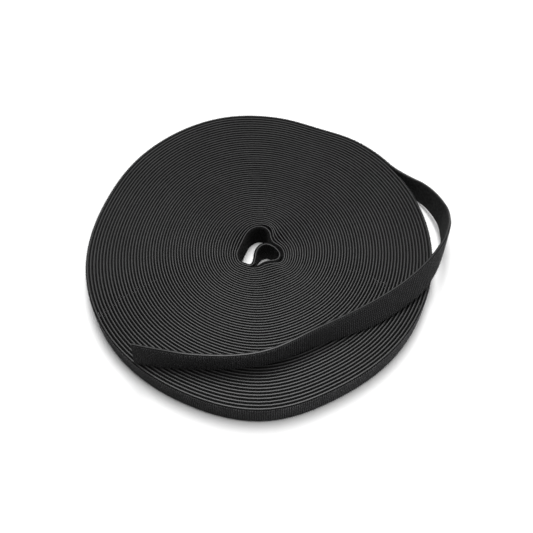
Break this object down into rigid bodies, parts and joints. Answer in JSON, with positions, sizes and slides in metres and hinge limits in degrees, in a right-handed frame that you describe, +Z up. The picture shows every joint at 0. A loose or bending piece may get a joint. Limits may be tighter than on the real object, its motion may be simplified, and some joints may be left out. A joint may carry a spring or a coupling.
{
  "type": "roll of hook and loop tape",
  "caption": "Narrow back-to-back hook and loop tape wound flat without a core into a disc, with a curled inner end and a loose outer end lying over the rim and the top face.",
  "frame": {"origin": "middle of the object's outline, on the surface that the roll lies on", "axes": "+Z up, along the roll's axis; +X to the side on which the loose end bulges out; the loose end's tail lies towards -Y"},
  "size_m": [0.2528, 0.2444, 0.0402],
  "materials": {
    "wound_tape": "matt woven selvedges of black nylon tape",
    "hook_face": "fine rows of stiff black hooks with a faint sheen",
    "loop_face": "deep matt black looped pile"
  },
  "bodies": {
    "root": {"roll": "wound_tape", "inner_end": "loop_face", "loose_end": "hook_face"}
  },
  "joints": []
}
